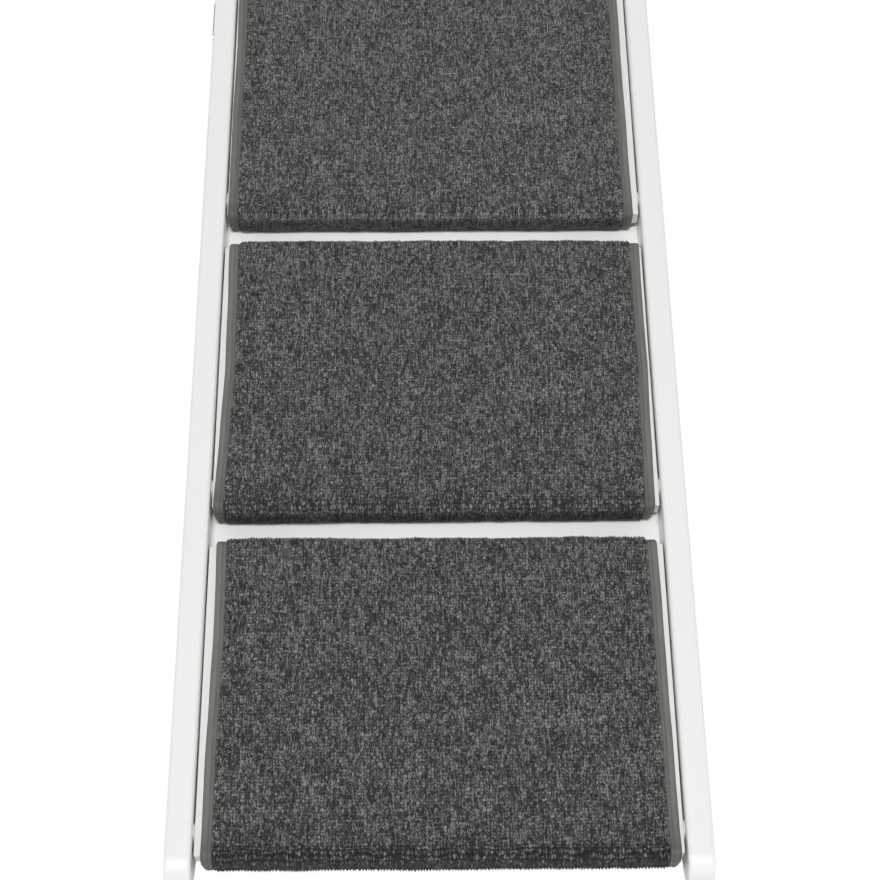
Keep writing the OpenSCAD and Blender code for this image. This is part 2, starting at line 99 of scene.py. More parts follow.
def colour(name, description, default):
    """A colour, as shares of red, green and blue."""
    return FloatVectorProperty(
        name=name, description=description, default=default, subtype="COLOR", min=0, max=1
    )


class CarpetMake(bpy.types.PropertyGroup):
    """How the mats are tufted, bound and laid on the boards."""

    loop_across: length("Loop gauge", "Distance between columns of loops", 2.3)
    loop_along: length("Loop spacing", "Distance between rows of loops", 2.6)
    relief: length("Relief", "Height of the loops above the gaps between them", 1.5)
    scatter: length("Scatter", "How far the loops stand out of line", 0.5)
    loft: length("Loft", "How far the pile stands above its pressed height", 0.8)
    bulge: length("Bulge", "How far a mat stands off the board's low end", 1.7)
    wave: length("Wave", "How far a mat's face and edges wander from straight", 0.45)
    overhang: length("Overhang", "How much wider the upper mats lie than their pattern", 1.6)
    drift: length("Drift", "How far the top mat has crept to one side", 2.6)
    corner: length("Corner", "Rounding of the binding where a mat turns under", 3.6)
    stitch_len: length("Stitch length", "Distance between stitches in the binding", 3.2)
    seed: IntProperty(name="Seed", description="Start of the random draws", default=7, min=0)
    yarn_dark: colour("Dark yarn", "The darkest yarn in the heather", (0.018, 0.018, 0.017))
    yarn_mid: colour("Middle yarn", "The heather's main grey", (0.096, 0.096, 0.094))
    yarn_light: colour("Light yarn", "The pale flecks in the heather", (0.285, 0.285, 0.28))
    backing: colour("Backing", "The woven backing under the pile", (0.32, 0.29, 0.24))
    tape: colour("Binding", "The binding tape", (0.170, 0.180, 0.160))


class PaintMake(bpy.types.PropertyGroup):
    """The painted wood."""

    paint: colour("Paint", "Satin white paint", (0.88, 0.885, 0.87))
    gloss: share("Roughness", "Roughness of the satin paint", 0.42)
    grain: share("Grain", "How much of the wood's grain shows through the paint", 0.35)
    edge: length("Edge rounding", "Rounding of the legs' sawn edges", 1.2)
    board_edge: length("Board rounding", "Rounding of the boards' edges", 1.2)
    board_lip: length("Board lip", "Wood beside the plates that are let into a board's edges", 1.95)


class HardwareMake(bpy.types.PropertyGroup):
    """Metal, nylon and rubber."""

    zinc: colour("Zinc", "Bright zinc plating", (0.62, 0.62, 0.60))
    steel: colour("Plate steel", "Dull grey steel of the plates", (0.20, 0.19, 0.165))
    # The washers' cream is paler than the nylon's own: painted light that lifts the shade of the narrow
    # slits they sit in.
    nylon: colour("Nylon", "Cream nylon of the washers", (0.92, 0.89, 0.78))
    rubber: colour("Rubber", "Black rubber of the pads", (0.022, 0.022, 0.023))
    hook: colour("Hook tape", "Black hook tape under the boards", (0.020, 0.020, 0.022))
    pad_edge: length("Pad rounding", "Rounding of the rubber pads' edges", 0.8)


class StudioMake(bpy.types.PropertyGroup):
    """Floor, lamps and camera."""

    floor: share("Floor", "Lightness of the floor", 0.9)
    floor_half: length("Floor size", "Half width of the floor", 12000)
    backdrop: share("Backdrop", "Share of plain white in what the camera sees of the floor", 0.93)
    glow: strength("Glow", "Strength of that white, a little over 1 to whiten the lit floor", 1.026)
    sky: strength("Sky", "Strength of the light all round", 0.1)
    sky_tint: colour("Sky tint", "Colour of the light all round", (0.985, 0.993, 1.0))
    key: strength("Key", "Power of the large lamp by the camera", 580)
    key_size: length("Key size", "Width of the large lamp", 2400)
    key_away: length("Key distance", "How far the large lamp stands from the bottom tread", 9000)
    key_shift: spot("Key shift", "How far it stands off the camera's line", (0.0, 0.6, 0.6))
    side: strength("Sides", "Power of each of the two side lamps", 145)
    side_size: length("Side size", "Width of each side lamp", 3000)
    side_stand: spot(
        "Side lamp", "Where the right side lamp stands; the left one mirrors it", (7.0, -1.5, 2.4)
    )
    aim: spot("Aim", "Where the lamps point", (0.0, 0.0, 0.2))
    stand: spot(
        "Camera",
        "Where the camera stands from the bottom tread's pivot",
        (-0.01919, -1.007084, 1.03177),
    )
    heading: angle("Heading", "Turn of the view to the right", 1.0156)
    dip: angle("Dip", "Angle of the view below level", 33.8558)
    tilt: angle("Tilt", "Roll of the camera", 0.345)
    lens: FloatProperty(
        name="Lens", description="Focal length in millimetres", default=76.387, min=1
    )


# ---- Shader maths ----


class Value:
    """A shader socket that takes part in sums. Numbers add Math nodes, vectors Vector Math."""

    def __init__(self, finish, socket):
        self.finish = finish
        self.socket = socket

    def sum_with(self, operation, *others, swapped=False):
        """Adds a Math or Vector Math node that works on this value and the others."""
        terms = [self, *others]
        if swapped:
            terms.reverse()
        if any(isinstance(t, Value) and t.socket.type == "VECTOR" for t in terms):
            spread = [(t, t, t) if isinstance(t, (int, float)) else t for t in terms]
            kind, terms = "ShaderNodeVectorMath", spread
        else:
            kind = "ShaderNodeMath"
        return self.finish.add(kind, {"operation": operation}, dict(enumerate(terms)))

    def __add__(self, other):
        return self.sum_with("ADD", other)

    __radd__ = __add__

    def __sub__(self, other):
        return self.sum_with("SUBTRACT", other)

    def __rsub__(self, other):
        return self.sum_with("SUBTRACT", other, swapped=True)

    def __mul__(self, other):
        return self.sum_with("MULTIPLY", other)

    __rmul__ = __mul__

    def floor(self):
        return self.sum_with("FLOOR")

    def fraction(self):
        return self.sum_with("FRACT")

    def sine(self):
        return self.sum_with("SINE")

    def absolute(self):
        return self.sum_with("ABSOLUTE")

    def swing(self, amount):
        """A noise from 0 to 1 turned into one about 0."""
        return (self - 0.5) * amount

    def wave(self, pitch):
        """A sine wave that repeats once in each pitch."""
        return (self * (math.tau / pitch)).sine()

    def between(self, low, high):
        """0 below low, 1 above high, and smooth between."""
        return self.finish.add(
            "ShaderNodeMapRange",
            {"interpolation_type": "SMOOTHSTEP"},
            {"Value": self, "From Min": low, "From Max": high},
        )


class Finish:
    """One material, built round a Principled shader."""

    def __init__(self, name, **constants):
        self.material = bpy.data.materials.new(name)
        self.material.use_nodes = True
        self.tree = self.material.node_tree
        self.tree.nodes.clear()
        self.surface = self.tree.nodes.new("ShaderNodeBsdfPrincipled")
        self.outlet = self.tree.nodes.new("ShaderNodeOutputMaterial")
        self.tree.links.new(self.surface.outputs[0], self.outlet.inputs["Surface"])
        for socket, value in constants.items():
            self.surface.inputs[socket.replace("_", " ").title()].default_value = value

    def add(self, kind, settings=None, sockets=None, out=None):
        """Adds a node: its settings first, then its sockets' values or links."""
        node = self.tree.nodes.new(kind)
        for name, value in (settings or {}).items():
            setattr(node, name, value)
        for key, value in (sockets or {}).items():
            if isinstance(value, Value):
                self.tree.links.new(value.socket, node.inputs[key])
            else:
                node.inputs[key].default_value = value
        shown = [s for s in node.outputs if s.enabled]
        return Value(self, node.outputs[out] if out is not None else shown[0])

    def mix(self, amount, first, second):
        """A colour from first at 0 to second at 1."""
        first, second = (c if isinstance(c, Value) else (*c, 1) for c in (first, second))
        sockets = {0: amount, 6: first, 7: second}
        return self.add("ShaderNodeMix", {"data_type": "RGBA"}, sockets, out=2)

    def place(self):
        """Where a point is on the ramp as it stands, in metres."""
        return self.add("ShaderNodeTexCoord", out="Object")

    def apart(self, vector):
        """The first two numbers of a vector."""
        x = self.add("ShaderNodeSeparateXYZ", sockets={0: vector}, out=0)
        return x, Value(self, x.socket.node.outputs[1])

    def cells(self, layer):
        """The two numbers of a UV layer."""
        return self.apart(self.add("ShaderNodeUVMap", {"uv_map": layer}))

    def join(self, x, y, z=0.0):
        return self.add("ShaderNodeCombineXYZ", sockets={0: x, 1: y, 2: z})

    def noise(self, vector, scale=1.0, detail=2.0, roughness=0.5):
        return self.add(
            "ShaderNodeTexNoise",
            sockets={"Vector": vector, "Scale": scale, "Detail": detail, "Roughness": roughness},
            out="Fac",
        )

    def chance(self, vector):
        """A number from 0 to 1 for each whole-numbered place."""
        return self.add(
            "ShaderNodeTexWhiteNoise", {"noise_dimensions": "3D"}, {"Vector": vector}, out="Value"
        )

    def set(self, socket, value):
        self.tree.links.new(value.socket, self.surface.inputs[socket])

    def bump(self, height, distance):
        self.set("Normal", self.add("ShaderNodeBump", sockets={"Height": height, "Distance": distance}))


def tinted(base, *shares):
    """A colour with each part multiplied by one share, or by its own, and kept to 1 at most."""
    if len(shares) == 1:
        shares *= 3
    return tuple(min(1.0, c * part) for c, part in zip(base, shares))


def ramp_slope():
    """The treads tilt from the slope to level, so their travel is the ramp's slope."""
    return math.radians(JOINTS["bottom_tread_tilt"]["range_deg"][1])


def along_slope(finish):
    """A point's place with Y turned to run up the slope."""
    return finish.add(
        "ShaderNodeMapping",
        sockets={"Vector": finish.place(), "Rotation": (-ramp_slope(), 0, 0)},
    )


def white_paint(make):
    """Satin paint over planed wood: roller stipple, with a little long grain under it."""
    finish = Finish("white_paint")
    run = along_slope(finish)
    grain = finish.noise(run * (420.0, 9.0, 420.0), detail=3.0, roughness=0.6)
    stipple = finish.noise(run * (900.0, 900.0, 900.0), detail=1.0)
    drift = finish.noise(run * (7.0, 3.0, 7.0), detail=2.0)
    dirt = drift.between(0.35, 0.75) * 0.5 + grain.between(0.55, 0.8) * 0.12
    finish.set("Base Color", finish.mix(dirt, tuple(make.paint), tinted(make.paint, 0.93)))
    finish.set("Roughness", make.gloss + stipple * 0.08 + drift * 0.06 - 0.07)
    finish.bump(grain * make.grain + stipple * 0.4, 0.12 * MM)
    return finish.material


def carpet(make):
    """Heather loop pile. The loops layer counts loops, across in U and along the mat in V; the turn
    layer's U is 1 where the mat turns outward round the board's low end, and its V is the mat's own
    lightness with painted shade: darker towards the nose, with painted light on the upper mats' noses
    and painted shade on the bottom one's."""
    finish = Finish("carpet", roughness=0.95, sheen_weight=0.08, sheen_roughness=0.6)
    across, along = finish.cells("loops")
    # The turn layer's V is the mat's lightness with its painted shade and painted nose light.
    turn, shade = finish.cells("turn")
    # The needle lines wander, so the loops don't sit on a strict grid.
    wander = 1.2
    sway = finish.noise(finish.join(across * 0.5, along * 0.3, 1.0), detail=2.0)
    slip = finish.noise(finish.join(across * 0.7, along * 0.7, 8.0), detail=1.0)
    across = across + sway.swing(wander)
    along = along + slip.swing(wander)
    column = across.floor()
    row = along.floor()
    ply = (across * 2.0).floor()
    # Yarns keep their tone along a column, and each loop, fibre and patch has its own share.
    streak = finish.noise(finish.join(ply * 7.31, along * 0.32, 3.7), detail=1.0)
    fleck = finish.noise(finish.join(column * 5.17, along * 0.6, 6.1), detail=1.0)
    cloud = finish.noise(finish.join(across * 0.13, along * 0.08, 5.0), detail=2.0)
    loop = finish.chance(finish.join(column, row, 1.0))
    fibre = finish.noise(finish.join(across * 2.7, along * 1.4, 9.0), detail=1.0, roughness=0.6)
    tone = 0.5 + streak.swing(1.9) + fleck.swing(1.1) + loop.swing(0.55)
    tone = tone + fibre.swing(3.6) + cloud.swing(0.45) + (shade - 0.5)
    dark = (tone * 1.6).between(0.0, 1.0)
    yarn = finish.mix(dark, tuple(make.yarn_dark), tuple(make.yarn_mid))
    yarn = finish.mix(tone.between(0.45, 1.25), yarn, tuple(make.yarn_light))
    # Painted shade: the gaps beside and behind each loop are darkened as the shadow between loops, and
    # this painted shade opens wider on the turn.
    turn_gap_shade = turn * 0.3
    beside = (across.fraction() - 0.5).absolute() * 2.0
    behind = (along.fraction() - 0.5).absolute() * 2.0 + turn_gap_shade
    painted_gap_shade = beside.between(0.5, 1.15) * 0.6 + behind.between(0.5, 1.15) * (0.55 + turn_gap_shade)
    finish.set("Base Color", finish.mix(painted_gap_shade, yarn, tinted(make.yarn_dark, 0.3)))
    strand = (across * 2.0 + along * 3.0).wave(1.0)
    finish.bump(fibre * 0.7 + strand * 0.12, 0.4 * MM)
    return finish.material


def backing(make):
    """Woven backing cloth."""
    finish = Finish("carpet_backing", roughness=0.9)
    threads = finish.noise(finish.place() * (1400.0, 1400.0, 1400.0), detail=2.0)
    dark = tinted(make.backing, 0.6)
    finish.set("Base Color", finish.mix(threads.between(0.4, 0.65), tuple(make.backing), dark))
    finish.bump(threads, 0.3 * MM)
    return finish.material


def binding_tape(make):
    """Ribbed synthetic tape. The tape layer is in millimetres: across in U and along in V; the turn
    layer's U is 1 where the tape turns round the board's low end, where it is painted darker as shade."""
    finish = Finish("binding_tape", roughness=0.62, sheen_weight=0.1, sheen_roughness=0.5)
    across, along = finish.cells("tape")
    turn, _ = finish.cells("turn")
    rib = (along.wave(1.0) + 1.0) * 0.5
    warp = (across.wave(0.7) + 1.0) * 0.5
    wear = finish.noise(finish.join(across * 0.25, along * 0.03, 2.0), detail=3.0)
    lint = finish.noise(finish.join(across * 2.0, along * 2.0, 4.0), detail=2.0)
    # The tape's outer roll catches more light than the flat beside its stitches.
    roll = across.between(2.0, 3.5) - across.between(6.5, 8.5)
    tone = wear.between(0.3, 0.7) * 0.5 + roll * 0.35 - 0.1
    tone = tone + rib * (0.12 + turn * 0.5) + warp * 0.1 + lint.between(0.5, 0.8) * 0.2
    plain = finish.mix(tone, tinted(make.tape, 0.78), tinted(make.tape, 1.12))
    # Painted shade: round the board's low end the tape is darkened and warmed where it faces down, away
    # from the light.
    tape_nose_shade = tinted(make.tape, 0.62, 0.58, 0.55)
    finish.set("Base Color", finish.mix(turn * (1.0 - rib * 0.3), plain, tape_nose_shade))
    finish.bump(rib * 0.6 + warp * 0.3 + lint * 0.3, 0.12 * MM)
    return finish.material


def thread(make):
    """The binding's sewing thread, a shade darker than the tape."""
    finish = Finish("thread", roughness=0.6)
    twist = finish.noise(finish.place() * (2500.0, 2500.0, 2500.0), detail=1.0)
    finish.set("Base Color", finish.mix(twist, tinted(make.tape, 0.55), tinted(make.tape, 0.8)))
    return finish.material


def metal(name, base, rough, streaks):
    """Rolled or plated metal, with fine streaks and dull patches."""
    finish = Finish(name, metallic=1.0)
    run = along_slope(finish)
    streak = finish.noise(run * (streaks, 60.0, streaks), detail=3.0, roughness=0.6)
    patch = finish.noise(run * (90.0, 90.0, 90.0), detail=3.0)
    dull = patch.between(0.35, 0.75) * 0.7 + streak * 0.2
    finish.set("Base Color", finish.mix(dull, tuple(base), tinted(base, 0.72)))
    finish.set("Roughness", patch * 0.22 + streak * 0.12 + (rough - 0.17))
    finish.bump(streak + patch * 0.4, 0.04 * MM)
    return finish.material


def moulded(name, base, rough, bloom_tint):
    """Moulded nylon or rubber with a faint pitted skin and patches of bloom."""
    finish = Finish(name)
    place = finish.place()
    pits = finish.noise(place * (1500.0, 1500.0, 1500.0), detail=2.0)
    bloom = finish.noise(place * (120.0, 120.0, 120.0), detail=3.0)
    worn = tinted(base, bloom_tint)
    finish.set("Base Color", finish.mix(bloom.between(0.35, 0.7) * 0.8, tuple(base), worn))
    finish.set("Roughness", bloom * 0.12 + (rough - 0.06))
    finish.bump(pits, 0.08 * MM)
    return finish.material


def hook_cloth(make):
    """Hook tape: rows of stiff hooks on black cloth."""
    finish = Finish("hook_tape", roughness=0.7)
    across, up = finish.apart(along_slope(finish))
    hooks = across.wave(1.4 * MM) * up.wave(1.6 * MM)
    tips = tinted(make.hook, 3.0)
    finish.set("Base Color", finish.mix(hooks.between(-0.2, 0.9), tuple(make.hook), tips))
    finish.bump(hooks, 0.4 * MM)
    return finish.material


# ---- Nodes of the frame ----


def finish_nodes(names, material, edge=0.0, segments=2):
    """Gives CAD nodes their finish, and rounds their edges where edge isn't 0."""
    for name in names:
        node = frame["nodes"][name]
        for held in node.material_slots:
            held.link = "OBJECT"
            held.material = material
        if edge:
            weld = node.modifiers.new("weld", "WELD")
            weld.merge_threshold = 0.001 * MM
            bevel = node.modifiers.new("edges", "BEVEL")
            bevel.width = edge
            bevel.segments = segments
            bevel.limit_method = "ANGLE"
            bevel.angle_limit = math.radians(40)
            bevel.use_clamp_overlap = True
            node.modifiers.new("normals", "WEIGHTED_NORMAL")


def each_place(*stems):
    """The names of nodes that each tread has."""
    return [f"{stem}_{place}" for stem in stems for place in PLACES]


# ---- Mats ----


class TreadSpace:
    """A tread's own space at rest: X across, Y up the slope from the pivot, Z off the board."""

    def __init__(self, place):
        self.place = place
        pivot = Vector(JOINTS[f"{place}_tread_tilt"]["pos_m"])
        self.to_ramp = Matrix.Translation(pivot) @ Matrix.Rotation(ramp_slope(), 4, "X")

    def reach(self, stem):
        """Lowest and highest corners of one of this tread's nodes, in its own space."""
        back = self.to_ramp.inverted()
        mesh = frame["nodes"][f"{stem}_{self.place}"].data
        points = np.array([back @ vertex.co for vertex in mesh.vertices])
        return points.min(0), points.max(0)

    def put(self, points):
        """Points of this space, moved to where they lie on the ramp."""
        move = np.array(self.to_ramp)
        return points @ move[:3, :3].T + move[:3, 3]


class Wrap:
    """The line that a mat's backing follows: under the board's low end, round the nose,
    over the top, and down and under the high end. It is measured at a level inside the
    pile, so that loops open up where the mat turns outward."""

    LEVEL = 3.0 * MM
    # Length of the tails under the board, and the turns over its ends and at its lower edges
    TAIL = 15.0 * MM
    LIP = 2.0 * MM
    FOLD = 1.0 * MM

    def __init__(self, space):
        board_low, board_high = space.reach("tread")
        tape_low, _ = space.reach("hook_tape")
        mat_low, mat_high = space.reach("mat")
        low, top = tape_low[2], board_high[2]
        nose, head = board_low[1], board_high[1]
        self.pile = mat_high[2] - top
        self.tail_pile = low - mat_low[2]
        tails = (nose + self.TAIL, low), (head - self.TAIL, low)
        corners = np.array([tails[0], (nose, low), (nose, top), (head, top), (head, low), tails[1]])
        radii = (0, self.FOLD, self.LIP, self.LIP, self.FOLD, 0)
        # Runs are straight where their radius is 0; marks hold both ends of each turn.
        self.runs = []
        self.marks = []
        start = 0.0
        for k in range(len(corners) - 1):
            ahead = corners[k + 1] - corners[k]
            ahead /= np.linalg.norm(ahead)
            out = np.array([-ahead[1], ahead[0]])
            first = corners[k] + ahead * radii[k]
            last = corners[k + 1] - ahead * radii[k + 1]
            span = float(np.linalg.norm(last - first))
            self.runs.append((start, span, first, ahead, out, 0.0))
            start += span
            r = radii[k + 1]
            if r:
                turn = (r + self.LEVEL) * math.pi / 2
                self.marks.append((start, start + turn))
                self.runs.append((start, turn, last - out * r, ahead, out, r))
                start += turn
        self.length = start

    def at(self, s):
        """The backing's points and outward directions at distances s."""
        s = np.clip(np.asarray(s, float), 0, self.length)
        points = np.zeros((len(s), 2))
        outs = np.zeros((len(s), 2))
        slack = 1e-12
        for start, span, origin, ahead, out, r in self.runs:
            here = (s >= start - slack) & (s <= start + span + slack)
            t = (s[here] - start)[:, None]
            if r == 0.0:
                points[here] = origin + ahead * t
                outs[here] = out
            else:
                angle = t / (r + self.LEVEL)
                turned = out * np.cos(angle) + ahead * np.sin(angle)
                points[here] = origin + turned * r
                outs[here] = turned
        return points, outs

    def under(self, s):
        """1 under the board, 0 on the rest, and between them where the mat folds under."""
        (a, b), (c, d) = self.marks[0], self.marks[3]
        return np.clip((b - s) / (b - a), 0, 1) + np.clip((s - c) / (d - c), 0, 1)

    def nose(self, s, spread):
        """1 on the turn over the board's low end and below it, fading over the spread above it."""
        return np.clip((self.marks[1][1] + spread - s) / spread, 0, 1)

    def turned_under(self, s):
        """0 on top of the board, rising to 1 half way round the fold under its low end."""
        a, b = sum(self.marks[0]) / 2, self.marks[1][1]
        return np.clip((b - s) / (b - a), 0, 1)


class Habit(NamedTuple):
    """What sets one mat apart from the others."""

    # Half width added, as a share of the overhang
    extra: float
    # Sideways shift and skew, as shares of the drift
    shift: float
    skew: float
    # Lightness, and the painted light (above 0) or painted shade (below 0) on the nose
    shade: float
    nose_painted_light: float
    # Shares of the bulge that the left and right sides have
    bulges: tuple
    # How far the rows of loops open round the nose
    opening: float
    # Share of the corners' rounding
    corner: float
    # How far each edge strays outward, in millimetres, at even steps from the nose up
    strays: dict


HABITS = {
    "bottom": Habit(
        extra=0.0,
        shift=0.35,
        skew=0.15,
        shade=0.45,
        nose_painted_light=-0.07,
        bulges=(1.0, 1.0),
        opening=1.0,
        corner=1.1,
        strays={-1: (0.6, 0.7, 0.4, -0.4, 0.6), 1: (1.7, 1.4, 0.2, -0.1, -0.5)},
    ),
    "middle": Habit(
        extra=0.9,
        shift=-0.1,
        skew=0.3,
        shade=0.47,
        nose_painted_light=0.16,
        bulges=(1.0, -0.1),
        opening=0.5,
        corner=1.1,
        strays={-1: (1.5, 0.0, -2.0, -1.0, 0.5), 1: (0.7, 1.0, 2.3, 1.4, 1.3)},
    ),
    "top": Habit(
        extra=1.0,
        shift=-1.0,
        skew=0.0,
        shade=0.52,
        nose_painted_light=0.34,
        bulges=(0.0, -0.6),
        opening=0.1,
        corner=0.5,
        strays={-1: (0.2, 0.1, 0.0, -0.3, 0.0), 1: (1.2, 0.4, 0.3, 0.3, 0.0)},
    ),
}


def eased(part):
    """A share from 0 to 1, with a soft start and end."""
    return part * part * (3 - 2 * part)


class Lie:
    """How one mat lies: the binding's outer edge on each side, and the face's gentle waves."""

    # A wave's number says how often it repeats in one 18th of the mat.
    PARTS = 18
    # Heights of the three waves that a ripple is made of
    HEIGHTS = (0.5, 0.3, 0.2)
    # How far above the turn over the low end the bulge fades out
    BULGE_REACH = 22 * MM
    # How far the binding stands off the low end without the bulge
    TAPE_STAND = 1.0 * MM

    def __init__(self, make, space, wrap):
        self.make = make
        self.wrap = wrap
        self.habit = HABITS[space.place]
        self.rng = np.random.default_rng(make.seed + PLACES.index(space.place))
        _, tape_high = space.reach("binding")
        _, pile_high = space.reach("mat")
        _, board_high = space.reach("tread")
        self.half = tape_high[0] + make.overhang * self.habit.extra
        self.tape_t = tape_high[2] - board_high[2]
        self.tape_w = tape_high[0] - pile_high[0]
        self.shift = make.drift * self.habit.shift
        self.skew = make.drift * self.habit.skew
        self.round = make.corner * self.habit.corner
        self.phases = self.rng.uniform(0, math.tau, 16)

    def ripple(self, s, k, waves=(0.09, 0.17, 0.31)):
        """A slow wander from -1 to 1 along the mat, different for each k."""
        turns = np.asarray(s) / self.wrap.length * math.tau
        return sum(
            np.sin(turns * wave * self.PARTS + self.phases[(k + i) % len(self.phases)]) * height
            for i, (wave, height) in enumerate(zip(waves, self.HEIGHTS))
        )

    def edge(self, s, side):
        """The mat's edge at distances s on one side, without its rounded corners."""
        s = np.asarray(s, float)
        middle = self.shift + self.skew * (s / self.wrap.length - 0.5) * 2
        wander = self.make.wave * 0.8 * self.ripple(s, 3 + side)
        return middle + side * (self.half + wander + self.stray(s, side))

    def stray(self, s, side):
        """How far one edge strays outward at distances s."""
        nose, head = self.wrap.marks[1][1], self.wrap.marks[2][0]
        steps = self.habit.strays[side]
        step, part = np.divmod(np.clip((s - nose) / (head - nose), 0, 1) * (len(steps) - 1), 1)
        strays = np.array([*steps, steps[-1]]) * MM
        step = step.astype(int)
        part = eased(part)
        return strays[step] * (1 - part) + strays[step + 1] * part

    def stand(self, s, across):
        """How far the mat stands off the board's low end at distances s; across runs from
        -1 at the left to 1 at the right."""
        left, right = self.habit.bulges
        bulge = left + (right - left) * (across + 1) / 2
        return self.make.bulge * bulge * self.wrap.nose(s, self.BULGE_REACH) ** 2

    def tape_stand(self, s, side):
        """How far the binding on one side stands off the board's low end at distances s."""
        own = self.TAPE_STAND * self.wrap.nose(s, self.BULGE_REACH) ** 2
        return (own + self.stand(s, side)) * (1 - self.wrap.under(s))

    def corner(self, s):
        """How far the binding draws in at distances s, where the mat turns under."""
        return self.round * (1 - np.sqrt(1 - self.wrap.turned_under(s) ** 2))


def drift_field(rng, shape, spacing):
    """Random numbers about 1 in size that change smoothly over a grid."""
    field = rng.normal(0, 1, [n // step + 2 for n, step in zip(shape, spacing)])
    for axis, (n, step) in enumerate(zip(shape, spacing)):
        low, part = np.divmod(np.arange(n) / step, 1)
        low = low.astype(int)
        part = eased(part).reshape([-1 if k == axis else 1 for k in range(2)])
        field = field.take(low, axis) * (1 - part) + field.take(low + 1, axis) * part
    return field


def new_piece(name, points, faces, materials, material_of=None, layers=None, smooth=True):
    """A mesh piece from arrays. layers holds one UV pair for each point."""
    mesh = bpy.data.meshes.new(name)
    mesh.from_pydata([tuple(p) for p in points], [], faces)
    for material in materials:
        mesh.materials.append(material)
    mesh.polygons.foreach_set("use_smooth", [smooth] * len(mesh.polygons))
    if material_of is not None:
        mesh.polygons.foreach_set("material_index", material_of)
    for layer, pairs in (layers or {}).items():
        uv = mesh.uv_layers.new(name=layer)
        corner_point = np.zeros(len(mesh.loops), np.int32)
        mesh.loops.foreach_get("vertex_index", corner_point)
        uv.data.foreach_set("uv", np.asarray(pairs, np.float32)[corner_point].ravel())
    work = bmesh.new()
    work.from_mesh(mesh)
    bmesh.ops.recalc_face_normals(work, faces=work.faces)
    work.to_mesh(mesh)
    work.free()
    piece = bpy.data.objects.new(name, mesh)
    bpy.context.scene.collection.objects.link(piece)
    return piece


